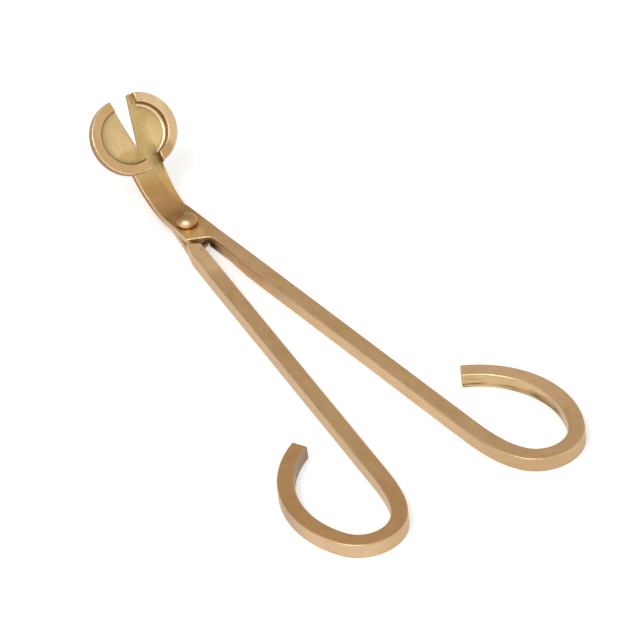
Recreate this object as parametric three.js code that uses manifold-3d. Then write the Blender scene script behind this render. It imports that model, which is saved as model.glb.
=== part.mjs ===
// Wick trimmer: two brass levers crossed at a half lap and held by one rivet.
// Each lever is a square bar with an open finger hook at one end and, past the lap, a flat neck
// that bends up and carries half of a round tray. A half-ring rim is fixed on each half tray.
// Millimetres, +Z up. The origin is on the pivot axis, level with the undersides of the bars.
// +Y points at the tray, and the handle of the upper lever lies on the +X side.

import * as THREE from 'three';
import { mergeVertices } from 'three/addons/utils/BufferGeometryUtils.js';
import Module from 'manifold-3d';

const wasm = await Module();
wasm.setup();

// ---- Driving dimensions ----

const OPEN_ANGLE = 5.3;        // degrees that each lever is turned from the parallel position
const BAR_WIDTH = 4.7;
const BAR_HEIGHT = 4.5;
const BAR_OFFSET = 3.02;       // bar centreline from the lever's own centre plane
const BAR_TOP_START = -9.44;   // where the straight stretch of the bar is measured from

const RUN_GAP = 0.3;           // between the two lap plates, and between blades
const SEAT_GAP = 0.25;         // between a rim and the blade that it is fixed on
const PLATE = (BAR_HEIGHT - RUN_GAP) / 2;

const NECK_TILT = 47.9;        // degrees from the bars to the tray
const NECK_FLAT_END = 6.4;     // where the upper surface of the neck starts to bend
const NECK_BEND_RADIUS = 15.3; // of the upper surface of the upper neck
const DISC_CENTRE = 34.4;      // along the unbent neck from the pivot axis
const DISC_RADIUS = 11.47;
const RIM_INNER_RADIUS = 8.54;
const RIM_TOP = 0.75;          // above the upper blade
const TIP_FLAT = 1.5;          // degrees of the disc taken off each pointed tip

const SHANK_RADIUS = 1.6;
const HOLE_RADIUS = 1.7;
const HEAD_RADIUS = 3.15;
const HEAD_RIM = 0.45;         // height of the straight side under the dome
const HEAD_DOME = 2.0;
const HEAD_GAP = 0.25;
const TAIL_RADIUS = 2.6;
const TAIL_DEPTH = 1.0;        // depth of the countersink that the tail fills

const BAR_ARC_STEPS = 14;
const ROUND_STEPS = 48;
const BEND_STEP = 0.9;         // longest station spacing in the bend
const SAME_STATION = 0.08;     // stations closer than this are one

// Both levers are described on the side of the upper one, with the handle at +x and the jaw at -x.
// bends:      [radius of the bar's centreline, degrees turned], from the straight stretch to the end
// relief:     how far the inner side of the bar is cut back beside the crotch
// lapStep:    where the bar rises to its full height, on its outer side and its inner side
// shoulder:   corner of the plate in the crotch, as [x, distance along the neck]
// handleSide: edge of the lap plate and neck on the handle's side, as [x, distance along the neck]
// jawSide:    edge of the lap plate and neck on the jaw's side
// disc:       [x, distance from DISC_CENTRE] of the half disc's centre
// edge:       cutting edge, as [x at the disc's centre, change of x per millimetre towards the tip]
// rimEnd:     the line that both ends of the rim lie on, given in the same way
const UPPER = {
  straight: 120.5,
  bends: [[67.1, 8.8], [25.3, 17.8], [10.4, 119.5], [28.9, 90.9]],
  relief: 0.65,
  lapStep: [-8.2, -8.75],
  shoulder: [0.5, -9.3],
  handleSide: [
    [5.37, -20], [5.25, -9.5], [5.2, 2], [5.15, 7.3], [4.15, 11.1], [3.6, 15.4], [2.95, 18.8],
    [2.75, 21.7],
  ],
  jawSide: [[-4.8, -6.5], [-4.2, 0.6], [-3.6, 10], [-3.4, 15], [-3.6, 19.5]],
  disc: [0.47, -0.2],
  edge: [1.23, -0.1],
  rimEnd: [1.23, -0.1],
};
const LOWER = {
  straight: 122.8,
  bends: [[67.1, 7.9], [25.3, 17.1], [10.2, 119.6], [29.5, 91.0]],
  relief: 0,
  lapStep: [-9.24, -10.95],
  shoulder: [0.5, -9.6],
  handleSide: [
    [5.37, -14.5], [4.55, -9.2], [4.05, -4.5], [3.75, 0], [3.35, 5], [3.3, 11], [3.3, 17],
    [3.3, 21.7],
  ],
  jawSide: [[-4.6, -6.4], [-4.9, 0.6], [-4.2, 11], [-3.65, 15.5], [-3.2, 20]],
  disc: [0.77, 0.2],
  edge: [1.5, -0.15],
  rimEnd: [-2.1, 0.06],
};
const SHOULDER_RUN = 1.6;      // length over which the shoulder turns into the bar's inner side
const PLATE_TAIL = -12.5;      // how far the lap plate runs into the bar
const RELIEF_RUN = [-19, -28]; // where the relief of the bar starts to fade, and where it ends

// ---- Helpers ----

const degrees = THREE.MathUtils.degToRad;

function solidOf(geometry) {
  const bare = geometry.clone();
  bare.deleteAttribute('normal');
  bare.deleteAttribute('uv');
  const merged = mergeVertices(bare, 1e-5);
  const mesh = new wasm.Mesh({
    numProp: 3,
    vertProperties: new Float32Array(merged.attributes.position.array),
    triVerts: new Uint32Array(merged.index.array),
  });
  return new wasm.Manifold(mesh);
}

function geometryOf(solid) {
  const mesh = solid.getMesh();
  const geometry = new THREE.BufferGeometry();
  geometry.setAttribute('position', new THREE.BufferAttribute(mesh.vertProperties, 3));
  geometry.setIndex(new THREE.BufferAttribute(mesh.triVerts, 1));
  return geometry;
}

// Mirrors a closed geometry in the plane x = 0 and keeps its faces pointing out.
function mirrored(geometry) {
  const copy = geometry.index ? geometry.toNonIndexed() : geometry.clone();
  const position = copy.attributes.position;
  const corner = new THREE.Vector3();
  const other = new THREE.Vector3();
  for (let i = 0; i < position.count; i += 3) {
    corner.fromBufferAttribute(position, i + 1);
    other.fromBufferAttribute(position, i + 2);
    position.setXYZ(i + 1, other.x, other.y, other.z);
    position.setXYZ(i + 2, corner.x, corner.y, corner.z);
  }
  copy.scale(-1, 1, 1);
  return copy;
}

// Drops points that lie on the one before, which arcs that share an end leave behind.
function cleanShape(shape, steps) {
  const points = shape.getPoints(steps);
  const distinct = points.filter((point, i) => {
    const before = points[(i + points.length - 1) % points.length];
    return point.distanceTo(before) > 1e-3;
  });
  return new THREE.Shape(distinct);
}

function plateOf(shape, steps, bottom, top) {
  const geometry = new THREE.ExtrudeGeometry(cleanShape(shape, steps), {
    depth: top - bottom,
    bevelEnabled: false,
  });
  return geometry.translate(0, 0, bottom);
}

// A point of the neck and tray: x across, s along the unbent neck, height above the upper surface.
function bent(x, s, height) {
  const tilt = degrees(NECK_TILT);
  const turned = THREE.MathUtils.clamp((s - NECK_FLAT_END) / NECK_BEND_RADIUS, 0, tilt);
  const beyond = Math.max(0, s - NECK_FLAT_END - NECK_BEND_RADIUS * tilt);
  const along = Math.min(s, NECK_FLAT_END) + NECK_BEND_RADIUS * Math.sin(turned);
  const rise = NECK_BEND_RADIUS * (1 - Math.cos(turned));
  return new THREE.Vector3(
    x,
    along + beyond * Math.cos(turned) - height * Math.sin(turned),
    BAR_HEIGHT + rise + beyond * Math.sin(turned) + height * Math.cos(turned),
  );
}

// ---- The bar and its hook ----

function barSolid(lever) {
  const half = BAR_WIDTH / 2;
  const inner = BAR_OFFSET - half;
  const relieved = inner + lever.relief;
  const [outerTop, innerTop] = lever.lapStep;
  const [outerX, outerEnd] = lever.handleSide[0];

  const arcs = [];
  let x = BAR_OFFSET;
  let y = BAR_TOP_START - lever.straight;
  let heading = -Math.PI / 2;
  for (const [radius, turn] of lever.bends) {
    const centreX = x - radius * Math.sin(heading);
    const centreY = y + radius * Math.cos(heading);
    const from = heading - Math.PI / 2;
    arcs.push({ centreX, centreY, radius, from, to: from + degrees(turn) });
    heading += degrees(turn);
    x = centreX + radius * Math.sin(heading);
    y = centreY - radius * Math.cos(heading);
  }

  const shape = new THREE.Shape();
  shape.moveTo(lever.handleSide[1][0], outerTop);
  shape.lineTo(relieved, innerTop);
  shape.lineTo(relieved, RELIEF_RUN[0]);
  shape.lineTo(inner, RELIEF_RUN[1]);
  for (const arc of arcs) {
    shape.absarc(arc.centreX, arc.centreY, arc.radius + half, arc.from, arc.to, false);
  }
  for (const arc of arcs.toReversed()) {
    shape.absarc(arc.centreX, arc.centreY, arc.radius - half, arc.to, arc.from, true);
  }
  shape.lineTo(outerX, outerEnd);
  return solidOf(plateOf(shape, BAR_ARC_STEPS, 0, BAR_HEIGHT));
}

// ---- The lap plate, neck and half tray ----

// Where the line x = offset + slope * v crosses a circle round the disc's centre, as the angles of
// the arc on the jaw's side of that line, from its end near the tip to its end near the neck.
function jawArc(lever, [offset, slope], radius) {
  const [centreX, centreV] = lever.disc;
  const distance = (offset + slope * centreV - centreX) / Math.hypot(1, slope);
  const normal = Math.atan2(-slope, 1);
  const half = Math.acos(distance / radius);
  return [normal + half, normal - half + 2 * Math.PI];
}

function discPoint(lever, radius, angle) {
  const [centreX, centreV] = lever.disc;
  return new THREE.Vector2(
    centreX + radius * Math.cos(angle),
    centreV + radius * Math.sin(angle),
  );
}

function smooth(points, steps) {
  return new THREE.SplineCurve(points.map(([x, y]) => new THREE.Vector2(x, y))).getPoints(steps);
}

// The edge of the plate on the jaw's side: bar, shoulder, neck, then round the disc to the tip.
function jawEdge(lever) {
  const inner = BAR_OFFSET - BAR_WIDTH / 2 + lever.relief;
  const [tip, heel] = jawArc(lever, lever.edge, DISC_RADIUS);
  const [neckX] = lever.jawSide.at(-1);
  const junction = 2 * Math.PI - Math.acos((neckX - lever.disc[0]) / DISC_RADIUS);
  const points = [
    new THREE.Vector2(inner, PLATE_TAIL),
    new THREE.Vector2(inner, lever.shoulder[1] - SHOULDER_RUN),
    new THREE.Vector2(...lever.shoulder),
    ...smooth(lever.jawSide.slice(0, -1), 8),
  ];
  const last = tip + degrees(TIP_FLAT);
  for (let i = 0; i <= ROUND_STEPS / 2; i += 1) {
    const angle = THREE.MathUtils.lerp(Math.min(junction, heel), last, i / (ROUND_STEPS / 2));
    const point = discPoint(lever, DISC_RADIUS, angle);
    points.push(new THREE.Vector2(point.x, point.y + DISC_CENTRE));
  }
  return points;
}

// The edge on the handle's side: bar, neck, then straight along the cutting edge.
function handleEdge(lever, end) {
  const [offset, slope] = lever.edge;
  const heel = DISC_CENTRE - RIM_INNER_RADIUS;
  const cut = (s) => new THREE.Vector2(offset + slope * (s - DISC_CENTRE), s);
  const bar = new THREE.Vector2(...lever.handleSide[0]);
  const neck = smooth(lever.handleSide.slice(1), 16);
  return [bar, ...neck, cut(heel), cut(end)];
}

function acrossAt(edge, s) {
  const after = edge.findIndex((point, i) => i > 0 && point.y >= s - 1e-6);
  const high = edge.at(after);
  const low = edge.at(after - 1);
  return THREE.MathUtils.mapLinear(s, low.y, high.y, low.x, high.x);
}

function plateSolid(lever, bottom, top) {
  const jaw = jawEdge(lever);
  const end = jaw.at(-1).y;
  const handle = handleEdge(lever, end);
  const bend = NECK_BEND_RADIUS * degrees(NECK_TILT);
  const bendSteps = Math.ceil(bend / BEND_STEP);
  const places = [...jaw, ...handle].map((point) => point.y);
  for (let i = 0; i <= bendSteps; i += 1) places.push(NECK_FLAT_END + bend * i / bendSteps);
  const stations = places
    .filter((s) => s >= PLATE_TAIL && s <= end)
    .sort((a, b) => a - b)
    .filter((s, i, all) => i === 0 || i === all.length - 1 || all[i + 1] - s > SAME_STATION);

  const corners = [];
  for (const s of stations) {
    const left = acrossAt(jaw, s);
    const right = acrossAt(handle, s);
    corners.push(bent(left, s, bottom), bent(right, s, bottom), bent(right, s, top), bent(left, s, top));
  }
  const index = [0, 1, 2, 0, 2, 3];
  for (let row = 4; row < corners.length; row += 4) {
    for (let side = 0; side < 4; side += 1) {
      const a = row - 4 + side;
      const b = row - 4 + (side + 1) % 4;
      index.push(a, a + 4, b, b, a + 4, b + 4);
    }
  }
  const cap = corners.length - 4;
  index.push(cap, cap + 2, cap + 1, cap, cap + 3, cap + 2);
  const geometry = new THREE.BufferGeometry().setFromPoints(corners);
  geometry.setIndex(index);
  return solidOf(geometry);
}

// The hole for the rivet, with a countersink at its lower end where the tail is spread.
function rivetHole(countersunk) {
  const clearance = HOLE_RADIUS - SHANK_RADIUS;
  const mouth = countersunk ? TAIL_RADIUS + clearance : HOLE_RADIUS;
  const below = -1;
  const above = BAR_HEIGHT + 1;
  const profile = [
    new THREE.Vector2(0, below),
    new THREE.Vector2(mouth, below),
    new THREE.Vector2(mouth, 0),
    new THREE.Vector2(HOLE_RADIUS, TAIL_DEPTH),
    new THREE.Vector2(HOLE_RADIUS, above),
    new THREE.Vector2(0, above),
  ];
  return solidOf(turned(profile));
}

// A solid turned round the pivot axis from a profile of [radius, height] points.
function turned(profile) {
  return new THREE.LatheGeometry(profile, ROUND_STEPS).rotateX(Math.PI / 2);
}

// ---- The half-ring rims ----

function rimGeometry(lever, bottom, top) {
  const [outerTip, outerHeel] = jawArc(lever, lever.rimEnd, DISC_RADIUS);
  const [innerTip, innerHeel] = jawArc(lever, lever.rimEnd, RIM_INNER_RADIUS);
  const [centreX, centreV] = lever.disc;
  const shape = new THREE.Shape();
  shape.absarc(centreX, centreV, DISC_RADIUS, outerTip, outerHeel, false);
  shape.absarc(centreX, centreV, RIM_INNER_RADIUS, innerHeel, innerTip, true);
  return plateOf(shape, ROUND_STEPS / 2, bottom, top);
}

// ---- The rivet ----

function rivetGeometry() {
  const seat = BAR_HEIGHT + HEAD_GAP;
  const crown = new THREE.EllipseCurve(
    0, seat + HEAD_RIM, HEAD_RADIUS, HEAD_DOME, 0, Math.PI / 2,
  );
  const profile = [
    new THREE.Vector2(0, 0),
    new THREE.Vector2(TAIL_RADIUS, 0),
    new THREE.Vector2(SHANK_RADIUS, TAIL_DEPTH),
    new THREE.Vector2(SHANK_RADIUS, seat),
    new THREE.Vector2(HEAD_RADIUS, seat),
    ...crown.getPoints(8).slice(0, -1),
    new THREE.Vector2(0, seat + HEAD_RIM + HEAD_DOME),
  ];
  return turned(profile);
}

// ---- Assembly ----

const BRASS = {
  handle: { color: 0xc9a67c, roughness: 0.38, metalness: 1 },
  rim: { color: 0xd0ab7c, roughness: 0.34, metalness: 1 },
  rivet: { color: 0xc6a06b, roughness: 0.3, metalness: 1 },
};

function named(name, geometry, finish) {
  const mesh = new THREE.Mesh(geometry, new THREE.MeshStandardMaterial(finish));
  mesh.name = name;
  return mesh;
}

function onTray(mesh) {
  const centre = bent(0, DISC_CENTRE, 0);
  mesh.position.copy(centre);
  mesh.rotation.x = degrees(NECK_TILT);
  return mesh;
}

const upperSolid = barSolid(UPPER)
  .add(plateSolid(UPPER, -PLATE, 0))
  .subtract(rivetHole(false));
const lowerSolid = barSolid(LOWER)
  .add(plateSolid(LOWER, -BAR_HEIGHT, -PLATE - RUN_GAP))
  .subtract(rivetHole(true));

const upper = new THREE.Group();
upper.rotation.z = degrees(OPEN_ANGLE);
upper.add(named('upper_lever', geometryOf(upperSolid), BRASS.handle));
upper.add(onTray(named('upper_rim', rimGeometry(UPPER, SEAT_GAP, RIM_TOP), BRASS.rim)));

const lowerBlade = -PLATE - RUN_GAP;
const lowerRim = rimGeometry(LOWER, lowerBlade + SEAT_GAP, RIM_TOP);
const lower = new THREE.Group();
lower.rotation.z = -degrees(OPEN_ANGLE);
lower.add(named('lower_lever', mirrored(geometryOf(lowerSolid)), BRASS.handle));
lower.add(onTray(named('lower_rim', mirrored(lowerRim), BRASS.rim)));

const group = new THREE.Group();
group.add(upper, lower, named('pivot_rivet', rivetGeometry(), BRASS.rivet));

export default group;
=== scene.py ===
"""Wick trimmer: fine meshes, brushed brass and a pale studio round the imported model.

Shapes are worked out in millimetres on the upper lever's side, with its handle at +x and its jaw
at -x, and become metres where a mesh is made. The lower lever is the same kind of ribbon, mirrored.
"""

import math

import bmesh
import bpy
from mathutils import Matrix, Vector


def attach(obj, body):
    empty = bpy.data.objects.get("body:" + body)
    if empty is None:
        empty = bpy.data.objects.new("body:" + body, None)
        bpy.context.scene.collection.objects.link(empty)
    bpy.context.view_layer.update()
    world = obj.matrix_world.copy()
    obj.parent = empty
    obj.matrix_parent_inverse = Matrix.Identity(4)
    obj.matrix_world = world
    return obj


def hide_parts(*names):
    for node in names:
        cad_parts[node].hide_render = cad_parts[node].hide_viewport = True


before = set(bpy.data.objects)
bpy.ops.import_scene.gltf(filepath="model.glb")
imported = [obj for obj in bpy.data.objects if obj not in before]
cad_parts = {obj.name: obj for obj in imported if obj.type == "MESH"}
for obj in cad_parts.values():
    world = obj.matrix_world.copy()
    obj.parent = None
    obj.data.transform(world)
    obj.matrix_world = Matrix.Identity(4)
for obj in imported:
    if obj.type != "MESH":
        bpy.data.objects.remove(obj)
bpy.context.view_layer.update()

MM = 0.001

# ---- Sizes shared with the CAD model, in millimetres and degrees ----

OPEN_ANGLE = 5.3
BAR_WIDTH = 4.7
BAR_HEIGHT = 4.5
BAR_OFFSET = 3.02
BAR_TOP_START = -9.44
RUN_GAP = 0.3
PLATE = (BAR_HEIGHT - RUN_GAP) / 2
NECK_TILT = 47.9
NECK_FLAT_END = 6.4
NECK_BEND_RADIUS = 15.3
DISC_CENTRE = 34.4
DISC_RADIUS = 11.47
RIM_INNER_RADIUS = 8.54
RIM_TOP = 0.75
TIP_FLAT = 1.5
SHANK_RADIUS = 1.6
HOLE_RADIUS = 1.7
HEAD_RADIUS = 3.15
HEAD_RIM = 0.45
HEAD_DOME = 2.0
HEAD_GAP = 0.25
TAIL_RADIUS = 2.6
TAIL_DEPTH = 1.0
TAIL_GAP = 0.1
SHOULDER_RUN = 1.6
RELIEF_RUN = (-19, -28)

# Each lever is unrolled along s: the hook is at negative s, the rivet at 0 and the half tray at the
# far end. straight is the length of the bar before the hook and bends are the hook's (radius,
# degrees) arcs. relief is how far the bar's inner side is cut back beside the crotch, and lap_step
# is the s of the lap step at the handle's and at the jaw's side. shoulder is the corner at which
# the jaw's side turns out from the bar, and handle_side and jaw_side are (x, s) points of the two
# sides of the plate and the neck. disc is the half tray's centre, measured from DISC_CENTRE. edge
# and rim_end are the (x, slope) of the lines that cut the blade and the rim. plate is the (bottom,
# top) of the plate and blade, and foot_grime is how dark the foot of the rim is made, as
# grime and painted shade; the less of it, the more the fillet shows wear and a painted highlight.

UPPER = {
    "name": "upper",
    "side": 1,
    "straight": 120.5,
    "bends": ((67.1, 8.8), (25.3, 17.8), (10.4, 119.5), (28.9, 90.9)),
    "relief": 0.65,
    "lap_step": (-8.2, -8.75),
    "shoulder": (0.5, -9.3),
    "handle_side": ((5.37, -20), (5.25, -9.5), (5.2, 2), (5.15, 7.3), (4.15, 11.1), (3.6, 15.4),
                    (2.95, 18.8), (2.75, 21.7)),
    "jaw_side": ((-4.8, -6.5), (-4.2, 0.6), (-3.6, 10), (-3.4, 15), (-3.6, 19.5)),
    "disc": (0.47, -0.2),
    "edge": (1.23, -0.1),
    "rim_end": (1.23, -0.1),
    "plate": (BAR_HEIGHT - PLATE, BAR_HEIGHT),
    "countersunk": False,
    "foot_grime": 1,
}
LOWER = {
    "name": "lower",
    "side": -1,
    "straight": 122.8,
    "bends": ((67.1, 7.9), (25.3, 17.1), (10.2, 119.6), (29.5, 91.0)),
    "relief": 0,
    "lap_step": (-9.24, -10.95),
    "shoulder": (0.5, -9.6),
    "handle_side": ((5.37, -14.5), (4.55, -9.2), (4.05, -4.5), (3.75, 0), (3.35, 5), (3.3, 11),
                    (3.3, 17), (3.3, 21.7)),
    "jaw_side": ((-4.6, -6.4), (-4.9, 0.6), (-4.2, 11), (-3.65, 15.5), (-3.2, 20)),
    "disc": (0.77, 0.2),
    "edge": (1.5, -0.15),
    "rim_end": (-2.1, 0.06),
    "plate": (0, PLATE),
    "countersunk": True,
    "foot_grime": 0,
}

# ---- Sizes of the fine shape ----

BAR_EDGE = 0.45        # edge radii
HOOK_END_EDGE = 0.3
NECK_EDGE = 0.3
SHARP_EDGE = 0.05
EDGE_STEPS = 4
ARC_SAG = 0.004        # by which the CAD model's facets lie inside the hooks' true arcs
BAR_WEAR_SHEEN = 0.3         # of the wear and painted edge highlight that a rim's edges show
CORNER_REACH = 0.5     # over which a side line's corner becomes a curve
CORNER_FADE = 2        # the reach is at most the distance to the disc divided by this
SLANT_RUN = 5          # toward the hook, over which the lap step's slant fades in
SLANT_END = -2         # s at which it has faded out toward the disc
LAP_FADE = 3           # over which the bar's edges become the neck's
CUTTING_LEAD = 3       # how far before the floor the cutting edge starts
HOOK_MARGIN = 0.01     # between the straight bar's last station and the hook
STATION = 0.6          # spacing along the neck
BAR_STATION = 4.0      # and along the straight bar
ARC_STATION = 2.2      # degrees, round the hook
DISC_STATION = 3.0     # degrees, round the half disc
SHARP_ANGLE = 50       # degrees between faces that meet in a real corner
FLOOR_STEPS = 12       # across a hollow floor
DISH_DEPTH = 0.55      # of the hollow floor
DIRT_SHADE_START = 7.0       # the radius on a floor where the grime and painted shade start toward the rim
DIRT_SHADE_RUN = 1.5         # over which it grows
DIRT_SHADE_FADE = 2          # over which it fades out toward the line where the rim ends
DIRT_SHADE_LEVEL = 0.8
RIM_SINK = 0.07        # how far a rim reaches into its blade, so that no light passes
RIM_OUTER_EDGE = 0.5
RIM_INNER_EDGE = 0.25
RIM_COVE = 0.85        # fillet between a rim and the floor inside it
COVE_SHARE = 0.95      # of the height under the rim's inner edge, which the fillet may take
COVE_WALL = (0.2, 0.7)  # rows of the rim's inner wall above the fillet, as shares of the way down
COVE_GRIME_SHADE = 0.9       # grime and painted shade at the fillet's top
HEAD_SEAT = 0.12       # between the rivet's head and the plate
HEAD_EDGE = 0.4
HEAD_EDGE_STEPS = 6
DOME_STEPS = 20
DOME_FULLNESS = 0.9    # 1 would be an ellipse, and less is fuller
RIVET_SIDES = 96
DRILL_SPARE = 0.4      # how far the drill passes a plate
HOLE_MARGIN = 0.05     # round the countersink, to find what the drill has made
EDGE_OF_WIDTH = 0.4    # an edge radius takes at most these shares of a station
EDGE_OF_HEIGHT = 0.45
MITRE_LIMIT = 0.5      # least cosine in a corner, so that no inset runs away
SAME_POINT = 1e-6      # millimetres between points of an outline that are one
MERGE = 1e-7           # metres between points of a mesh that are one
DEGENERATE = 1e-8      # metres of a face's width that count as none

# ---- Camera and studio ----

CAMERA_ANGLES = (-27.13, 37.25, -6.57)  # azimuth, elevation and roll, in degrees
CAMERA_AIM = (0.00946, -0.058, 0)
CAMERA_DISTANCE = 1.2399
CAMERA_LENS = 247.9
CAMERA_SENSOR = 36
FLOOR_DROP = 0.02 * MM  # below the levers' flat undersides
FLOOR_SIZE = 3          # half of the floor's side, in metres
FLOOR_WHITE = 0.9
FLOOR_ROUGHNESS = 0.9
FLOOR_GLOW = 0.32
BACK_LIGHT = 0.60
FRONT_LIGHT = 0.88
LIGHT_RANGE = 0.7       # cosine from -y at which the world is fully one or the other
LAMP_POWER = 4.5
LAMP_WAY = (-0.49, -0.29, 0.82)
LAMP_DISTANCE = 1.2
LAMP_SIZE = 0.7

# ---- Brass ----

FINE_STREAKS = (7.0, 0.15, 7.0)  # per mm, across, along and up
BROAD_STREAKS = (1.8, 0.08, 1.8)
CLOUDS = (0.22, 0.12, 0.22)
SPECKLES = (3.0, 3.0, 3.0)
NOISE_RANGE = (0.3, 0.7)  # of Blender's noise, spread out to -1 and 1
FINE_PART = 0.5      # how much each of them adds
BROAD_PART = 0.2
SPECKLE_PART = 0.45
CLOUD_PART = 0.7
TONE_RANGE = 1.1     # the sum at which the tone is darkest or lightest
DARK_TONE = (0.88, 0.83, 0.74)   # factors on a colour in the clouds' darkest and lightest places
LIGHT_TONE = (1.09, 1.12, 1.18)
# painted shade on every wall, against the flat faces
WALL_SHADE = (0.80, 0.87, 0.97)
# the worn colour is edge wear together with a painted highlight, and the grime colour is grime
# together with painted shade in creases and at the rims' feet
WORN_SHEEN_COLOUR = (0.97, 0.78, 0.53)
GRIME_SHADE_COLOUR = (0.24, 0.135, 0.045)
WORN_SHEEN_PART = 0.65
GRIME_SHADE_PART = 0.8
ZONE_CORE = 0.6      # the share of a zone's size in which it is full
STAIN_CORE = 0.25
SCRATCH_CORE = 0.4
RAGGED_STREAKS = 1.6  # against 1 of clouds, in a stain's ragged edge
RAGGED_RANGE = (-0.7, 0.5)
RAGGED_LEAST = 0.15
SCRATCH_RANGE = (-0.15, 0.35)  # of the broad streaks, from no mark to the darkest
SCRATCH_LEVEL = 0.9
# what each of these adds to the roughness
ROUGH_MOTTLING = 0.08
ROUGH_CLOUD = 0.04
ROUGH_WEAR = -0.08
ROUGH_STAIN = 0.3
ROUGH_SCRATCH = 0.2
# grime together with painted shade in the crotch's recess
CROTCH_GRIME_SHADE = (0.045, 0.025, 0.010)
DULL_BROWN = (0.16, 0.09, 0.035)
TOOL_BROWN = (0.20, 0.12, 0.045)
GREY_FLUX = (0.055, 0.050, 0.032)
# zones that both levers share; the neck zone is painted shade on the neck, and the blade's walls zone
# is painted shade on the blade's walls
NECK_SHADE = ((0.0, 10.0, 3.0), (60.0, 13.0, 60.0), (0.78, 0.70, 0.55), False)
BLADE_ZONE = ((0.0, 36.0, 3.0), (60.0, 17.0, 60.0), (1.02, 1.17, 1.14), False)
BLADE_WALL_SHADE = ((0.0, 30.0, 3.0), (60.0, 26.0, 60.0), (0.64, 0.45, 0.28), True)
STREAK_DEPTH = 0.01 * MM


def lerp(a, b, t):
    return a + (b - a) * t


def clamp(value, low, high):
    return max(low, min(high, value))


# ---- The plate, neck and half tray, unrolled ----

def spline(points, steps=24):
    """A smooth line through points, as many short straight ones (Catmull-Rom)."""
    known = [Vector(p) for p in points]
    padded = [2 * known[0] - known[1], *known, 2 * known[-1] - known[-2]]
    line = []
    for before, start, end, after in zip(padded, padded[1:], padded[2:], padded[3:]):
        for i in range(steps):
            t = i / steps
            line.append(0.5 * (2 * start + (end - before) * t
                               + (2 * before - 5 * start + 4 * end - after) * t ** 2
                               + (3 * start - before - 3 * end + after) * t ** 3))
    line.append(known[-1])
    return line


def across(line, s):
    """x of a line of (x, s) points at s. The points run along +s."""
    for low, high in zip(line, line[1:]):
        if s <= high.y:
            break
    return lerp(low.x, high.x, (s - low.y) / max(high.y - low.y, 1e-9))


def jaw_arc(lever, line, radius):
    """Angles of the arc of the disc on the jaw's side of a line: its tip end and its heel end."""
    centre_x, centre_v = lever["disc"]
    offset, slope = line
    distance = (offset + slope * centre_v - centre_x) / math.hypot(1, slope)
    normal = math.atan2(-slope, 1)
    half = math.acos(distance / radius)
    return normal + half, normal - half + 2 * math.pi


def disc_point(lever, radius, angle):
    centre_x, centre_v = lever["disc"]
    return Vector((centre_x + radius * math.cos(angle),
                   centre_v + DISC_CENTRE + radius * math.sin(angle)))


def jaw_line(lever):
    """The jaw's side from the hook's end of the straight bar to the disc, and the arc of the disc."""
    inner = BAR_OFFSET - BAR_WIDTH / 2
    relieved = inner + lever["relief"]
    neck_x = lever["jaw_side"][-1][0]
    junction = 2 * math.pi - math.acos((neck_x - lever["disc"][0]) / DISC_RADIUS)
    tip, heel = jaw_arc(lever, lever["edge"], DISC_RADIUS)
    last = tip + math.radians(TIP_FLAT)
    steps = round(math.degrees(junction - last) / DISC_STATION)
    arc = [disc_point(lever, DISC_RADIUS, lerp(min(junction, heel), last, i / steps))
           for i in range(steps + 1)]
    bar = [Vector((inner, straight_end(lever))), Vector((inner, RELIEF_RUN[1])),
           Vector((relieved, RELIEF_RUN[0])),
           Vector((relieved, lever["shoulder"][1] - SHOULDER_RUN)), Vector(lever["shoulder"])]
    return bar + spline(lever["jaw_side"][:-1]), arc


def handle_line(lever, end):
    """The handle's side from the hook's end of the straight bar to the tip."""
    offset, slope = lever["edge"]
    heel = DISC_CENTRE - RIM_INNER_RADIUS
    cut = [Vector((offset + slope * (s - DISC_CENTRE), s)) for s in (heel, end)]
    bar = [Vector((BAR_OFFSET + BAR_WIDTH / 2, straight_end(lever))), Vector(lever["handle_side"][0])]
    return bar + spline(lever["handle_side"][1:]) + cut


def straight_end(lever):
    return BAR_TOP_START - lever["straight"]


def rounded(line, s, reach):
    """x of a line at s, averaged over a short reach so that a corner becomes a small curve."""
    samples = 8
    total = sum(across(line, s + reach * (2 * i / samples - 1)) for i in range(samples + 1))
    return total / (samples + 1)


def slant(lever, s):
    """How far the handle's end of a station is ahead of the jaw's end, beside the lap step."""
    outer, inner = lever["lap_step"]
    if s < inner:
        fade = (s - inner + SLANT_RUN) / SLANT_RUN
    else:
        fade = (SLANT_END - s) / (SLANT_END - inner)
    return (outer - inner) * clamp(fade, 0, 1)


def from_disc_centre(lever, place):
    centre_x, centre_v = lever["disc"]
    return (place - Vector((centre_x, centre_v + DISC_CENTRE))).length


def hollow(lever, place):
    """How far the floor of the half tray lies below the blade's rim seat."""
    return DISH_DEPTH * max(0, 1 - (from_disc_centre(lever, place) / RIM_INNER_RADIUS) ** 2)


# ---- Ribbons: closed bodies between two side lines, with rounded edges ----

class Station:
    """One line across a ribbon, from the jaw's side to the handle's side.

    edges holds the (top, bottom) edge radii of each side, middle is the height of the lap, and
    below it the jaw's side stands back by foot. cove is the fillet's radius on the
    handle's side of a rim, and grime is how dark its foot is made, as grime and painted shade.
    lever is given where the top is a hollow floor, and wear_sheen is how much of its edges' wear
    and painted highlight each side shows.
    """

    def __init__(self, ends, heights, middle, edges, flow=None, foot=0, cove=0, grime=0, lever=None,
                 wear_sheen=(1, 1)):
        self.ends = ends
        self.bottom, self.top = heights
        self.middle, self.foot, self.lever = middle, foot, lever
        self.cove, self.grime, self.wear_sheen = cove, grime, wear_sheen
        self.flow = flow or ends
        width = (ends[1] - ends[0]).length - foot
        limit = min(EDGE_OF_WIDTH * width, EDGE_OF_HEIGHT * (self.top - self.bottom))
        self.edges = [[min(radius, limit) for radius in pair] for pair in edges]

    def top_at(self, place):
        return self.top - (hollow(self.lever, place) if self.lever else 0)


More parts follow.
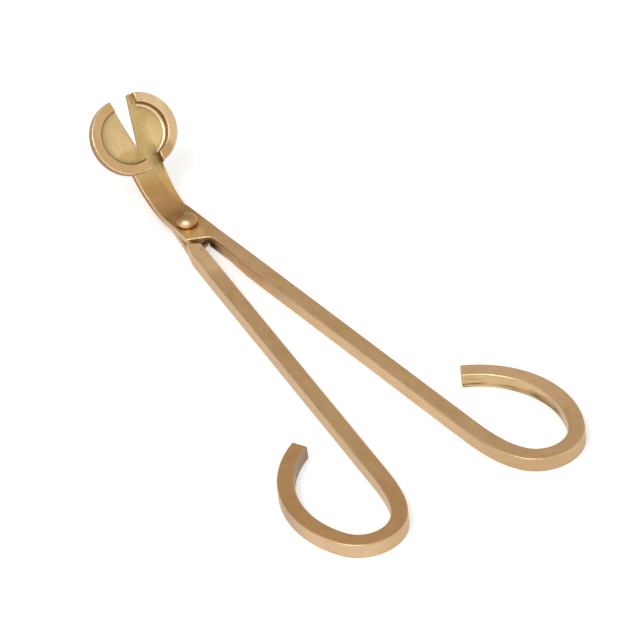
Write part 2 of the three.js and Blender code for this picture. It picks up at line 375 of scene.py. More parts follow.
def inward(points):
    """For each point of a closed outline, the way in that moves both of its sides by one."""
    count = len(points)
    area = sum(a.cross(b) for a, b in zip(points, points[1:] + points[:1]))
    ways = []
    for i, point in enumerate(points):
        distinct = [points[(i + step) % count] - point for step in range(1, count)
                    if (points[(i + step) % count] - point).length > SAME_POINT]
        first, second = -distinct[-1].normalized(), distinct[0].normalized()
        normals = Vector((-first.y, first.x)), Vector((-second.y, second.x))
        middle = (normals[0] + normals[1]).normalized()
        stretch = max(MITRE_LIMIT, middle.dot(normals[0]))
        ways.append(middle / stretch * math.copysign(1, area))
    return ways


def column(station, end, way):
    """(point, flow, marks) from the top's inset line over both rounded edges to the bottom's.

    The marks say how much a point is worn and carries a painted highlight, how much it is part of a
    wall, which gets painted shade, and how much grime and painted shade it carries.
    """
    place, flow = station.ends[end], station.flow[end]
    flow_way = (station.flow[1 - end] - flow).normalized()
    across_way = (station.ends[1 - end] - place).normalized()
    top_radius, bottom_radius = station.edges[end]
    top = station.top_at(place)
    middle = clamp(station.middle, station.bottom + bottom_radius, top - top_radius)
    foot = station.foot if end == 0 else 0
    kept = station.wear_sheen[end]
    turns = [math.pi / 2 * j / EDGE_STEPS for j in range(EDGE_STEPS + 1)]
    made = []

    def add(inset, height, marks, base=place, inset_way=way, moved=0):
        wear_sheen, wall, grime = marks
        made.append(((*(base + inset_way * inset), height),
                     (*(flow + flow_way * (inset + moved)), height), (wear_sheen * kept, wall, grime)))

    # wear and a painted highlight peak halfway round each rounded edge
    for t in turns:
        add(top_radius * (1 - math.sin(t)), top - top_radius * (1 - math.cos(t)),
            (math.sin(2 * t), 1 - math.cos(t), 0))
    if station.cove and end == 1:
        under_edge, over_cove = top - top_radius, station.bottom + station.cove
        # the rim's inner wall above the fillet is a wall in full grime and painted shade
        for share in COVE_WALL:
            add(0, lerp(under_edge, over_cove, share), (0, 1, 1))
        # down the fillet, grime and painted shade run from the fillet's top to the foot's level; the
        # less the foot has, the more the fillet shows wear and a painted highlight
        for t in turns:
            grime = lerp(COVE_GRIME_SHADE, station.grime, math.sqrt(math.sin(t)))
            add(station.cove * (math.cos(t) - 1), over_cove - station.cove * math.sin(t),
                ((1 - station.grime) * math.sin(t), 0, grime), inset_way=across_way)
    else:
        base = place + Vector((foot, 0))
        bottom_way = Vector((1, 0)) if foot else way
        add(0, middle, (0, 1, 0))
        add(0, middle, (0, 1, 0), base, moved=foot)
        # wear and a painted highlight peak halfway round the bottom edges too
        for t in turns:
            add(bottom_radius * (1 - math.cos(t)), station.bottom + bottom_radius * (1 - math.sin(t)),
                (math.sin(2 * t), 1 - math.sin(t), 0), base, bottom_way, foot)
    return made


def floor_points(station):
    """(point, flow, marks) across the hollow floor between the top edges of a blade's station."""
    if not station.lever:
        return []
    ends = [place + (other - place).normalized() * edges[0]
            for place, other, edges in zip(station.ends, reversed(station.ends), station.edges)]
    points = [ends[0].lerp(ends[1], i / FLOOR_STEPS) for i in range(1, FLOOR_STEPS)]
    rows = []
    for point in points:
        offset, slope = station.lever["rim_end"]
        rim_end = offset + slope * (point.y - DISC_CENTRE)
        # the floor darkens toward the rim's foot with grime and painted shade, fading out toward the
        # line where the rim ends
        beside = clamp((rim_end - point.x) / DIRT_SHADE_FADE, 0, 1)
        near = clamp((from_disc_centre(station.lever, point) - DIRT_SHADE_START) / DIRT_SHADE_RUN, 0, 1)
        rows.append(((*point, station.top_at(point)), (*point, station.top),
                     (0, 0, DIRT_SHADE_LEVEL * beside * near)))
    return rows


def bent(x, s, z):
    """Where a point of the unrolled ribbon lies on the lever, whose neck bends up."""
    tilt = math.radians(NECK_TILT)
    height = z - BAR_HEIGHT
    angle = clamp((s - NECK_FLAT_END) / NECK_BEND_RADIUS, 0, tilt)
    beyond = max(0, s - NECK_FLAT_END - NECK_BEND_RADIUS * tilt)
    y = min(s, NECK_FLAT_END) + (NECK_BEND_RADIUS - height) * math.sin(angle)
    rise = NECK_BEND_RADIUS - (NECK_BEND_RADIUS - height) * math.cos(angle)
    return Vector((x, y + beyond * math.cos(angle), BAR_HEIGHT + rise + beyond * math.sin(angle)))


def placing(lever):
    """From a lever worked out along +y to its place in the tool, opened and on its own side."""
    turn = Matrix.Rotation(math.radians(OPEN_ANGLE), 4, "Z")
    return Matrix.Diagonal((lever["side"], 1, 1, 1)) @ turn


def closed(bm):
    """The bmesh with points that are one merged, no faces without area, and the rest facing out."""
    bmesh.ops.remove_doubles(bm, verts=bm.verts, dist=MERGE)
    bmesh.ops.dissolve_degenerate(bm, dist=DEGENERATE, edges=bm.edges)
    bmesh.ops.recalc_face_normals(bm, faces=bm.faces)
    return bm


def ribbon(lever, stations):
    """The closed mesh of a ribbon, in place on the lever, with its unrolled place kept as flow."""
    outline = [(station, 0) for station in stations]
    outline += [(station, 1) for station in reversed(stations)]
    ways = inward([station.ends[end] for station, end in outline])

    bm = bmesh.new()
    flow_layer = bm.verts.layers.float_vector.new("flow")
    marks_layer = bm.verts.layers.float_vector.new("marks")
    place_in_tool = placing(lever)

    def vertices(rows):
        made = []
        for place, flow, marks in rows:
            made.append(bm.verts.new(place_in_tool @ bent(*place) * MM))
            made[-1][flow_layer] = flow
            made[-1][marks_layer] = marks
        return made

    grid = [vertices(column(station, end, way)) for (station, end), way in zip(outline, ways)]
    floors = [vertices(floor_points(station)) for station in stations]
    for first, second in zip(grid, grid[1:] + grid[:1]):
        for j in range(len(first) - 1):
            bm.faces.new((first[j], second[j], second[j + 1], first[j + 1]))
    for i in range(len(stations) - 1):
        jaw, jaw_next = grid[i], grid[i + 1]
        handle, handle_next = grid[-1 - i], grid[-2 - i]
        bm.faces.new((jaw[-1], jaw_next[-1], handle_next[-1], handle[-1]))
        near = [jaw[0], *floors[i], handle[0]]
        far = [jaw_next[0], *floors[i + 1], handle_next[0]]
        if len(near) == len(far):
            for j in range(len(near) - 1):
                bm.faces.new((near[j], near[j + 1], far[j + 1], far[j]))
        else:
            bm.faces.new((*near, *reversed(far)))
    if floors[0]:
        bm.faces.new((grid[0][0], grid[-1][0], *reversed(floors[0])))
    return closed(bm)


def linked(name, bm):
    """An object in the scene with the bmesh as its mesh."""
    mesh = bpy.data.meshes.new(name)
    bm.to_mesh(mesh)
    bm.free()
    made = bpy.data.objects.new(name, mesh)
    bpy.context.scene.collection.objects.link(made)
    return made


def turned(profile):
    """A solid of revolution about the pivot's axis from (radius, height) points, ends on the axis."""
    bm = bmesh.new()
    layer = bm.verts.layers.float_vector.new("flow")
    rings = []
    for radius, height in profile:
        rings.append([])
        for i in range(RIVET_SIDES):
            angle = 2 * math.pi * i / RIVET_SIDES
            place = Vector((radius * math.cos(angle), radius * math.sin(angle), height))
            vert = bm.verts.new(place * MM)
            vert[layer] = place
            rings[-1].append(vert)
    for low, high in zip(rings, rings[1:]):
        for i in range(RIVET_SIDES):
            j = (i + 1) % RIVET_SIDES
            bm.faces.new((low[i], low[j], high[j], high[i]))
    return closed(bm)


def drill(lever):
    """The (radius, height) profile of the hole, which widens below for the rivet's tail."""
    low, high = lever["plate"]
    if lever["countersunk"]:
        start = [(0, low - TAIL_DEPTH),
                 (TAIL_RADIUS + TAIL_GAP + TAIL_DEPTH, low - TAIL_DEPTH),
                 (HOLE_RADIUS, low + TAIL_DEPTH)]
    else:
        start = [(0, low - DRILL_SPARE), (HOLE_RADIUS, low - DRILL_SPARE)]
    return start + [(HOLE_RADIUS, high + DRILL_SPARE), (0, high + DRILL_SPARE)]


def drilled(bm, lever):
    """The lever's bmesh with the rivet's hole cut through its plate."""
    body = linked("undrilled", bm)
    plug = linked("plug", turned(drill(lever)))
    cut = body.modifiers.new("hole", "BOOLEAN")
    cut.operation = "DIFFERENCE"
    cut.solver = "EXACT"
    cut.object = plug
    evaluated = body.evaluated_get(bpy.context.evaluated_depsgraph_get())
    made = bmesh.new()
    made.from_mesh(evaluated.to_mesh())
    evaluated.to_mesh_clear()
    for spent in (body, plug):
        bpy.data.objects.remove(spent)
    flow_layer = made.verts.layers.float_vector["flow"]
    place_on_lever = placing(lever).inverted()
    for vert in made.verts:
        if vert.co.xy.length < (TAIL_RADIUS + TAIL_GAP + HOLE_MARGIN) * MM:
            vert[flow_layer] = place_on_lever @ vert.co / MM
    return made


def finished(name, bm):
    """A smooth-shaded object from a closed bmesh, with its faces out and its real corners sharp."""
    bmesh.ops.recalc_face_normals(bm, faces=bm.faces)
    if bm.calc_volume(signed=True) < 0:
        bmesh.ops.reverse_faces(bm, faces=bm.faces)
    piece = linked(name, bm)
    mesh = piece.data
    mesh.polygons.foreach_set("use_smooth", [True] * len(mesh.polygons))
    mesh.set_sharp_from_angle(angle=math.radians(SHARP_ANGLE))
    weighted = piece.modifiers.new("even_normals", "WEIGHTED_NORMAL")
    weighted.keep_sharp = True
    return piece


# ---- Levers ----

def plate_station(lever, jaw, handle, on_disc, foot=0):
    """A line across the lap plate, the neck or the half tray."""
    low, high = lever["plate"]
    upper = lever["side"] > 0
    fade = clamp((jaw.y - lever["lap_step"][1]) / LAP_FADE, 0, 1)
    outer, inner = lerp(BAR_EDGE, NECK_EDGE, fade), NECK_EDGE * fade
    top, bottom = (outer, inner) if upper else (inner, outer)
    cutting = jaw.y > DISC_CENTRE - RIM_INNER_RADIUS - CUTTING_LEAD
    handle_edges = (SHARP_EDGE, SHARP_EDGE) if cutting else (top, bottom)
    edges = ((SHARP_EDGE if on_disc and upper else top, bottom), handle_edges)
    # the jaw's side keeps its edges' full wear and painted highlight; the handle's side loses them
    # along the neck
    return Station((jaw, handle), (low, high), low if upper else high, edges, foot=foot,
                   lever=lever if on_disc else None, wear_sheen=(1, 1 - fade))


def bar_station(lever, jaw, handle, flow=None, foot=0, shrink=0):
    """A line across the square bar, drawn in by shrink at the end of the hook."""
    low, high = lever["plate"]
    middle = low if lever["side"] > 0 else high
    edges = ((BAR_EDGE, BAR_EDGE), (BAR_EDGE, BAR_EDGE))
    return Station((jaw, handle), (shrink, BAR_HEIGHT - shrink), middle, edges, flow, foot,
                   wear_sheen=(BAR_WEAR_SHEEN, BAR_WEAR_SHEEN))


def lever_stations(lever):
    """All lines across a lever, from the tip of its half tray to the end of its hook."""
    near, arc = jaw_line(lever)
    jaw = near + arc
    handle = handle_line(lever, arc[-1].y)
    stations = [plate_station(lever, p, Vector((across(handle, p.y), p.y)), True)
                for p in reversed(arc)]
    relieved = BAR_OFFSET - BAR_WIDTH / 2 + lever["relief"]
    step = lever["lap_step"][1]

    def pair(s):
        reach = clamp((arc[0].y - s) / CORNER_FADE, 0, CORNER_REACH)
        ahead = s + slant(lever, s)
        return (Vector((rounded(jaw, s, reach), s)),
                Vector((rounded(handle, ahead, reach), ahead)))

    def foot(ends):
        return max(0, relieved - ends[0].x) if ends[0].y > RELIEF_RUN[0] else 0

    count = math.ceil((arc[0].y - step) / STATION)
    for i in range(1, count):
        stations.append(plate_station(lever, *pair(lerp(arc[0].y, step, i / count)), False))
    ends = pair(step)
    stations.append(plate_station(lever, *ends, False, foot(ends)))
    stations.append(bar_station(lever, *ends, foot=foot(ends)))

    s = step
    end = straight_end(lever)
    while s > end:
        s -= STATION if s > RELIEF_RUN[0] else BAR_STATION
        ends = pair(max(s, end + HOOK_MARGIN))
        stations.append(bar_station(lever, *ends, foot=foot(ends)))
    return stations + hook_stations(lever)


def hook_stations(lever):
    """Lines across the hook, which is a chain of arcs, and round the edge of its end."""
    half = BAR_WIDTH / 2 - ARC_SAG
    stations = []
    place = Vector((BAR_OFFSET, straight_end(lever)))
    along = place.y
    heading = -math.pi / 2

    def station(centre, direction, along, shrink=0):
        side = Vector((-direction.y, direction.x)) * (half - shrink)
        flow = [Vector((BAR_OFFSET + x, along)) for x in (shrink - half, half - shrink)]
        return bar_station(lever, centre - side, centre + side, flow, shrink=shrink)

    for radius, degrees in lever["bends"]:
        turn = math.radians(degrees)
        centre = place + radius * Vector((-math.sin(heading), math.cos(heading)))
        steps = max(3, round(degrees / ARC_STATION))
        for i in range(1, steps + 1):
            angle = heading + turn * i / steps
            direction = Vector((math.cos(angle), math.sin(angle)))
            place = centre + radius * Vector((direction.y, -direction.x))
            stations.append(station(place, direction, along - radius * turn * i / steps))
        along -= radius * turn
        heading += turn
    stations.pop()
    for i in range(EDGE_STEPS + 1):
        turn = math.pi / 2 * i / EDGE_STEPS
        back = HOOK_END_EDGE * (1 - math.sin(turn))
        stations.append(station(place - direction * back, direction, along + back,
                                HOOK_END_EDGE * (1 - math.cos(turn))))
    return stations


def make_lever(lever):
    body = drilled(ribbon(lever, lever_stations(lever)), lever)
    piece = finished(lever["name"] + "_lever_brass", body)
    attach(piece, lever["name"])
    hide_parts(lever["name"] + "_lever")
    return piece


# ---- Rims ----

def make_rim(lever):
    low = lever["plate"][1] - RIM_SINK
    high = BAR_HEIGHT + RIM_TOP
    cove = min(RIM_COVE, COVE_SHARE * (high - low - RIM_INNER_EDGE))
    outer_tip, outer_heel = jaw_arc(lever, lever["rim_end"], DISC_RADIUS)
    inner_tip, inner_heel = jaw_arc(lever, lever["rim_end"], RIM_INNER_RADIUS)
    steps = round(math.degrees(outer_heel - outer_tip) / DISC_STATION)
    stations = []
    for i in range(steps + 1):
        outer = disc_point(lever, DISC_RADIUS, lerp(outer_tip, outer_heel, i / steps))
        inner = disc_point(lever, RIM_INNER_RADIUS, lerp(inner_tip, inner_heel, i / steps))
        edges = ((RIM_OUTER_EDGE, SHARP_EDGE), (RIM_INNER_EDGE, SHARP_EDGE))
        stations.append(Station((outer, inner), (low, high), low, edges, cove=cove,
                                grime=lever["foot_grime"]))
    piece = finished(lever["name"] + "_rim_brass", ribbon(lever, stations))
    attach(piece, lever["name"])
    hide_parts(lever["name"] + "_rim")
    return piece


# ---- Rivet ----

def make_rivet():
    seat = BAR_HEIGHT + HEAD_SEAT
    top = BAR_HEIGHT + HEAD_GAP + HEAD_RIM + HEAD_DOME
    profile = [(0, 0), (TAIL_RADIUS, 0), (SHANK_RADIUS, TAIL_DEPTH), (SHANK_RADIUS, seat),
               (HEAD_RADIUS - HEAD_EDGE, seat)]
    shoulder = BAR_HEIGHT + HEAD_GAP + HEAD_RIM
    for i in range(1, HEAD_EDGE_STEPS + 1):
        turn = math.pi / 2 * i / HEAD_EDGE_STEPS
        profile.append((HEAD_RADIUS - HEAD_EDGE * (1 - math.sin(turn)),
                        shoulder + (seat - shoulder) * math.cos(turn)))
    for i in range(1, DOME_STEPS + 1):
        turn = math.pi / 2 * i / DOME_STEPS
        profile.append((HEAD_RADIUS * math.cos(turn) ** DOME_FULLNESS,
                        shoulder + (top - shoulder) * math.sin(turn)))
    piece = finished("pivot_rivet_brass", turned(profile))
    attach(piece, "lower")
    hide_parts("pivot_rivet")
    return piece


# ---- Brass ----

def add_node(tree, kind, values, **settings):
    """A shader node with its settings, and its inputs set to numbers or linked to sockets."""
    made = tree.nodes.new("ShaderNode" + kind)
    for key, value in settings.items():
        setattr(made, key, value)
    for key, value in values.items():
        if isinstance(value, bpy.types.NodeSocket):
            tree.links.new(value, made.inputs[key])
        else:
            made.inputs[key].default_value = value
    return made


def attribute(tree, name, output):
    return add_node(tree, "Attribute", {}, attribute_name=name).outputs[output]


def stretched_noise(tree, place, stretch, detail, roughness=0.5):
    """Noise of about -1 to 1 whose grain is longer where stretch is smaller, in 1/mm."""
    scaled = add_node(tree, "VectorMath", {0: place, 1: stretch}, operation="MULTIPLY")
    noise = add_node(tree, "TexNoise", {"Vector": scaled.outputs[0], "Scale": 1.0, "Detail": detail,
                                        "Roughness": roughness})
    return spread(tree, noise.outputs[0], *NOISE_RANGE, -1, 1)


def spread(tree, value, low, high, new_low, new_high):
    ranged = add_node(tree, "MapRange", {0: value, 1: low, 2: high, 3: new_low, 4: new_high})
    return ranged.outputs[0]


def combine(tree, operation, first, second, third=None):
    values = {0: first, 1: second}
    if third is not None:
        values[2] = third
    return add_node(tree, "Math", values, operation=operation).outputs[0]


def spot(tree, place, centre, size, core):
    """1 in an ellipsoid's core, which is the given share of its size, and 0 outside it."""
    moved = add_node(tree, "VectorMath", {0: place, 1: centre}, operation="SUBTRACT")
    scaled = add_node(tree, "VectorMath", {0: moved.outputs[0], 1: size}, operation="DIVIDE")
    distance = add_node(tree, "VectorMath", {0: scaled.outputs[0]}, operation="LENGTH")
    return spread(tree, distance.outputs["Value"], 1.0, core, 0, 1)


def tinted(tree, colour, tint, amount, blend="MIX"):
    mixed = add_node(tree, "Mix", {0: amount, 6: colour, 7: (*tint, 1)}, data_type="RGBA",
                     blend_type=blend)
    return mixed.outputs[2]


def cloudy(tree, base, tone):
    """The base colour, darker and browner at tone 0 and lighter at tone 1."""
    dark = [channel * factor for channel, factor in zip(base, DARK_TONE)]
    light = [channel * factor for channel, factor in zip(base, LIGHT_TONE)]
    mixed = add_node(tree, "Mix", {0: tone, 6: (*dark, 1), 7: (*light, 1)}, data_type="RGBA")
    return mixed.outputs[2]


def zoned(tree, colour, zones, flow, wall):
    """The colour times each zone's factor, on the flat faces or the walls inside the zone."""
    flat = combine(tree, "SUBTRACT", 1.0, wall)
    for centre, size, factor, on_walls in zones:
        inside = spot(tree, flow, centre, size, ZONE_CORE)
        amount = combine(tree, "MULTIPLY", inside, wall if on_walls else flat)
        colour = tinted(tree, colour, factor, amount, "MULTIPLY")
    # then painted shade on every wall
    return tinted(tree, colour, WALL_SHADE, wall, "MULTIPLY")


def stained(tree, colour, rough, stains, flow, streaks, cloud):
    """Colour and roughness with stains, whose edges the streaks and clouds make ragged."""
    for centre, size, tint, strength in stains:
        patch = spot(tree, flow, centre, size, STAIN_CORE)
        uneven = combine(tree, "MULTIPLY_ADD", streaks, RAGGED_STREAKS, cloud)
        ragged = spread(tree, uneven, *RAGGED_RANGE, RAGGED_LEAST, 1)
        amount = combine(tree, "MULTIPLY", combine(tree, "MULTIPLY", patch, ragged), strength)
        colour = tinted(tree, colour, tint, amount)
        rough = combine(tree, "MULTIPLY_ADD", amount, ROUGH_STAIN, rough)
    return colour, rough


def scratched(tree, colour, rough, scratches, flow, broad):
    """Colour and roughness with dark tool marks, where the broad streaks are strong."""
    for centre, size in scratches:
        marked = combine(tree, "MULTIPLY", spot(tree, flow, centre, size, SCRATCH_CORE),
                         spread(tree, broad, *SCRATCH_RANGE, 0, SCRATCH_LEVEL))
        colour = tinted(tree, colour, TOOL_BROWN, marked)
        rough = combine(tree, "MULTIPLY_ADD", marked, ROUGH_SCRATCH, rough)
    return colour, rough


def brass(name, base, roughness, zones=(), stains=(), scratches=()):
    """Brushed brass: streaks along the flow, cloudy tarnish, edges brightened by wear and a painted
    highlight, dark grime with painted shade, and painted shade on the walls.

    A zone is (centre, size, factor on the colour, whether it is on walls instead of flat faces)
    and a stain is (centre, size, colour, strength), both in the flow's millimetres. Scratches are
    (centre, size) of places with dark tool marks along the flow. Many zones paint light and shade
    as lighter and darker patches, and say so where they are made.
    """
    material = bpy.data.materials.new(name)
    material.use_nodes = True
    tree = material.node_tree
    shader = tree.nodes["Principled BSDF"]
    shader.inputs["Metallic"].default_value = 1

    flow = attribute(tree, "flow", "Vector")
    marks = add_node(tree, "SeparateXYZ", {0: attribute(tree, "marks", "Vector")})
    wear_sheen, wall, grime = marks.outputs
    fine = stretched_noise(tree, flow, FINE_STREAKS, 3)
    broad = stretched_noise(tree, flow, BROAD_STREAKS, 2)
    cloud = stretched_noise(tree, flow, CLOUDS, 4, 0.6)
    speckle = stretched_noise(tree, flow, SPECKLES, 2)

    broad_part = combine(tree, "MULTIPLY", broad, BROAD_PART)
    streaks = combine(tree, "MULTIPLY_ADD", fine, FINE_PART, broad_part)
    mottling = combine(tree, "MULTIPLY_ADD", speckle, SPECKLE_PART, streaks)
    total = combine(tree, "MULTIPLY_ADD", cloud, CLOUD_PART, mottling)
    tone = spread(tree, total, -TONE_RANGE, TONE_RANGE, 0, 1)

    colour = zoned(tree, cloudy(tree, base, tone), zones, flow, wall)
    # wear with a painted highlight on the edges, then grime with painted shade in creases and at the
    # rims' feet
    colour = tinted(tree, colour, WORN_SHEEN_COLOUR, combine(tree, "MULTIPLY", wear_sheen, WORN_SHEEN_PART))
    colour = tinted(tree, colour, GRIME_SHADE_COLOUR, combine(tree, "MULTIPLY", grime, GRIME_SHADE_PART))
    rough = combine(tree, "MULTIPLY_ADD", mottling, ROUGH_MOTTLING, roughness)
    rough = combine(tree, "MULTIPLY_ADD", cloud, ROUGH_CLOUD, rough)
    rough = combine(tree, "MULTIPLY_ADD", wear_sheen, ROUGH_WEAR, rough)
    colour, rough = stained(tree, colour, rough, stains, flow, streaks, cloud)
    colour, rough = scratched(tree, colour, rough, scratches, flow, broad)

    relief = combine(tree, "ADD", speckle, fine)
    bump = add_node(tree, "Bump", {"Strength": 1.0, "Distance": STREAK_DEPTH, "Height": relief})
    tree.links.new(colour, shader.inputs["Base Color"])
    tree.links.new(rough, shader.inputs["Roughness"])
    tree.links.new(bump.outputs[0], shader.inputs["Normal"])
    return material


def upper_lever_brass():
    # floor_shine and plate_shine are painted highlights, hook_end, wall_far and hook_inside are
    # painted light, and hook_outside and floor_low are painted shade
    floor_shine = ((-2.6, 32.5, 4.5), (4.5, 7.0, 5.0), (1.16, 1.16, 1.22), False)
    hook_end = ((3.0, -205.0, 2.2), (60.0, 30.0, 60.0), (1.18, 1.20, 1.28), False)
    crotch_side = ((1.3, -24.0, 2.2), (2.0, 22.0, 60.0), (0.95, 0.78, 0.60), True)
    wall_far = ((0.7, -90.0, 2.2), (2.0, 45.0, 60.0), (1.12, 1.12, 1.13), True)
    hook_outside = ((0.7, -165.0, 2.2), (2.0, 28.0, 60.0), (0.93, 0.91, 0.92), True)
    hook_inside = ((5.4, -204.0, 2.2), (2.0, 24.0, 60.0), (1.16, 1.22, 1.20), True)
    neck_top = ((-0.5, 20.0, 4.5), (60.0, 6.0, 60.0), (0.97, 1.02, 0.92), False)
    plate = ((1.0, -3.5, 4.5), (60.0, 8.0, 2.0), (0.97, 0.90, 0.74), False)
    plate_shine = ((-1.2, -5.6, 4.5), (3.6, 3.6, 2.0), (1.28, 1.40, 1.45), False)
    floor_low = ((-2.2, 28.0, 4.5), (6.0, 3.4, 2.0), (0.86, 0.80, 0.66), False)
    zones = (NECK_SHADE, BLADE_ZONE, BLADE_WALL_SHADE, floor_shine, floor_low, neck_top, plate,
             plate_shine, hook_end, hook_outside, hook_inside, wall_far, crotch_side)
    stains = (
        # grime and painted shade in the crotch, on the wall and the lap step
        ((1.3, -10.5, 0.8), (2.6, 6.0, 3.3), CROTCH_GRIME_SHADE, 1.0),
        ((1.3, -9.0, 1.6), (2.4, 3.6, 2.6), CROTCH_GRIME_SHADE, 1.0),
        ((-0.6, -9.2, 2.4), (3.2, 2.4, 1.9), CROTCH_GRIME_SHADE, 1.0),
        # a row of tool marks inside the hook
        ((5.4, -198.0, 0.9), (1.0, 6.5, 1.5), TOOL_BROWN, 1.0),
        ((5.4, -191.0, 1.3), (1.0, 7.0, 1.8), TOOL_BROWN, 1.0),
        ((5.4, -184.5, 1.8), (1.0, 6.5, 2.1), TOOL_BROWN, 1.0),
        # a dull patch above the rivet, and a small pit on the bar
        ((1.0, 5.2, 4.5), (2.4, 3.2, 1.5), DULL_BROWN, 0.6),
        ((4.45, -45.16, 4.5), (0.4, 0.4, 0.6), DULL_BROWN, 0.9),
    )
    scratches = (
        ((5.4, -213.5, 1.5), (1.0, 6.0, 2.4)),
        ((5.4, -192.0, 0.9), (1.0, 17.0, 2.2)),
        ((1.3, -32.0, 2.6), (1.0, 26.0, 1.5)),
    )
    return brass("upper_lever_brass", (0.70, 0.44, 0.215), 0.36, zones, stains, scratches)


def lower_lever_brass():
    # floor_shine is a painted highlight, neck, shoulder and hook_outside are painted light, hook_tail
    # is painted shade and hook_inside is a painted shadow
    blade = ((0.0, 36.0, 3.0), (60.0, 17.0, 60.0), (0.88, 0.88, 0.78), False)
    floor_shine = ((-5.2, 33.0, 2.1), (4.5, 6.5, 5.0), (1.20, 1.22, 1.38), False)
    neck = ((-2.5, 15.0, 2.1), (60.0, 9.0, 60.0), (1.12, 1.18, 1.16), False)
    shoulder = ((3.0, -15.0, 4.5), (60.0, 14.0, 60.0), (1.22, 1.30, 1.45), False)
    hook_outside = ((0.7, -174.0, 2.2), (2.0, 16.0, 60.0), (1.10, 1.15, 1.30), True)
    hook_tail = ((0.7, -203.0, 2.2), (2.0, 24.0, 60.0), (0.80, 0.78, 0.80), True)
    hook_inside = ((5.4, -208.0, 2.2), (2.0, 24.0, 60.0), (0.50, 0.52, 0.62), True)
    hook = ((3.0, -185.0, 2.2), (60.0, 70.0, 60.0), (0.92, 0.83, 0.74), False)
    zones = (NECK_SHADE, BLADE_ZONE, BLADE_WALL_SHADE, blade, floor_shine, neck, shoulder, hook,
             hook_outside, hook_tail, hook_inside)
    stains = (
        # grime and painted shade in the crotch, and a small pit on the bar
        ((0.0, -9.3, 1.0), (4.0, 2.8, 3.4), CROTCH_GRIME_SHADE, 0.95),
        ((2.0, -13.9, 4.5), (0.55, 0.35, 0.6), DULL_BROWN, 0.9),
        # flux at the rim's heel and its tip
        ((-1.9, 25.6, 2.1), (2.3, 5.4, 2.5), GREY_FLUX, 1.0),
        ((-3.2, 41.6, 2.1), (2.2, 1.3, 2.0), GREY_FLUX, 0.4),
    )
    return brass("lower_lever_brass", (0.69, 0.43, 0.205), 0.36, zones, stains)


def upper_rim_brass():
    # painted shade on the rim's outer wall
    outside = ((0.0, 36.0, 3.0), (60.0, 60.0, 60.0), (0.64, 0.45, 0.28), True)
    return brass("upper_rim_brass", (0.69, 0.455, 0.21), 0.33, (outside,))


def lower_rim_brass():
    heel = ((-3.5, 25.5, 4.5), (5.0, 6.5, 9.0), (0.74, 0.66, 0.58), False)
    # painted shade on the rim's outer wall
    outside = ((0.0, 36.0, 3.0), (60.0, 60.0, 60.0), (0.58, 0.38, 0.21), True)
    return brass("lower_rim_brass", (0.81, 0.575, 0.325), 0.30, (heel, outside))


def rivet_brass():
    # a painted highlight on the dome, on its side toward the camera
    crown_highlight = ((-2.0, -2.4, 6.1), (2.1, 2.1, 1.8), (1.35, 1.75, 2.6), False)
    return brass("rivet_brass", (0.53, 0.32, 0.135), 0.34, (crown_highlight,))


# ---- Studio ----

def make_floor():
    bm = bmesh.new()
    bmesh.ops.create_grid(bm, x_segments=1, y_segments=1, size=FLOOR_SIZE)
    mesh = bpy.data.meshes.new("floor")
    bm.to_mesh(mesh)
    bm.free()
    floor = bpy.data.objects.new("floor", mesh)
    bpy.context.scene.collection.objects.link(floor)
    material = bpy.data.materials.new("floor_paint")
    material.use_nodes = True
    shader = material.node_tree.nodes["Principled BSDF"]
    shader.inputs["Base Color"].default_value = (FLOOR_WHITE, FLOOR_WHITE, FLOOR_WHITE, 1)
    shader.inputs["Roughness"].default_value = FLOOR_ROUGHNESS
    shader.inputs["Specular IOR Level"].default_value = 0
    shader.inputs["Emission Color"].default_value = (1, 1, 1, 1)
    shader.inputs["Emission Strength"].default_value = FLOOR_GLOW
    mesh.materials.append(material)
    floor.location.z = -FLOOR_DROP


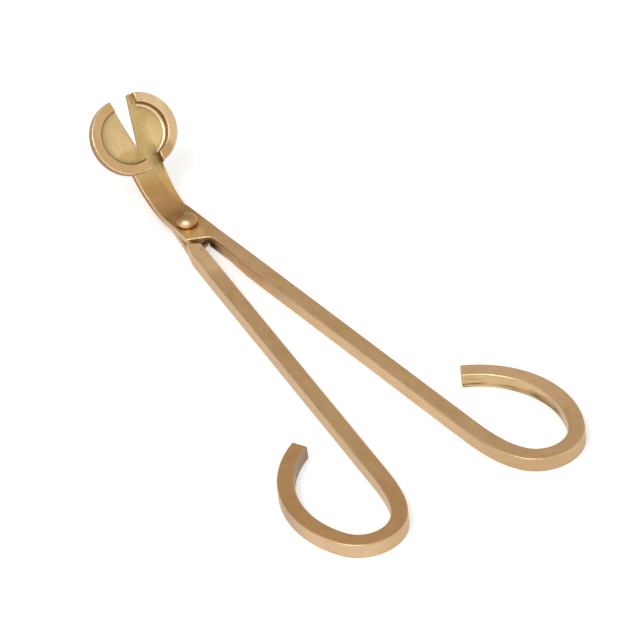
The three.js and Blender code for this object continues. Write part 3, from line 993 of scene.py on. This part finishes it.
def make_light(name, direction, distance, size, power):
    lamp = bpy.data.lights.new(name, "AREA")
    lamp.shape = "DISK"
    lamp.size = size
    lamp.energy = power
    light = bpy.data.objects.new(name, lamp)
    bpy.context.scene.collection.objects.link(light)
    way = Vector(direction).normalized()
    light.location = way * distance
    light.rotation_euler = way.to_track_quat("Z", "Y").to_euler()
    return light


def make_world():
    world = bpy.data.worlds.new("studio")
    bpy.context.scene.world = world
    world.use_nodes = True
    tree = world.node_tree
    background = tree.nodes["Background"]
    background.inputs["Color"].default_value = (1, 1, 1, 1)
    way = add_node(tree, "TexCoord", {}).outputs["Generated"]
    ahead = add_node(tree, "VectorMath", {0: way, 1: (0, -1, 0)}, operation="DOT_PRODUCT")
    glow = spread(tree, ahead.outputs["Value"], -LIGHT_RANGE, LIGHT_RANGE, BACK_LIGHT, FRONT_LIGHT)
    tree.links.new(glow, background.inputs["Strength"])


def make_camera():
    azimuth, elevation, roll = (math.radians(a) for a in CAMERA_ANGLES)
    back = Vector((math.sin(azimuth) * math.cos(elevation),
                   -math.cos(azimuth) * math.cos(elevation),
                   math.sin(elevation)))
    level = Vector((math.cos(azimuth), math.sin(azimuth), 0))
    up = back.cross(level)
    right = math.cos(roll) * level + math.sin(roll) * up
    above = math.cos(roll) * up - math.sin(roll) * level
    data = bpy.data.cameras.new("camera")
    data.lens = CAMERA_LENS
    data.sensor_width = CAMERA_SENSOR
    camera = bpy.data.objects.new("camera", data)
    bpy.context.scene.collection.objects.link(camera)
    pose = Matrix((right, above, back)).transposed().to_4x4()
    pose.translation = Vector(CAMERA_AIM) + back * CAMERA_DISTANCE
    camera.matrix_world = pose
    bpy.context.scene.camera = camera


make_camera()
levers = [make_lever(lever) for lever in (UPPER, LOWER)]
rims = [make_rim(lever) for lever in (UPPER, LOWER)]
rivet = make_rivet()
levers[0].data.materials.append(upper_lever_brass())
levers[1].data.materials.append(lower_lever_brass())
rims[0].data.materials.append(upper_rim_brass())
rims[1].data.materials.append(lower_rim_brass())
rivet.data.materials.append(rivet_brass())
make_floor()
make_world()
make_light("key_softbox", LAMP_WAY, LAMP_DISTANCE, LAMP_SIZE, LAMP_POWER)
bpy.context.scene.view_settings.view_transform = "Standard"
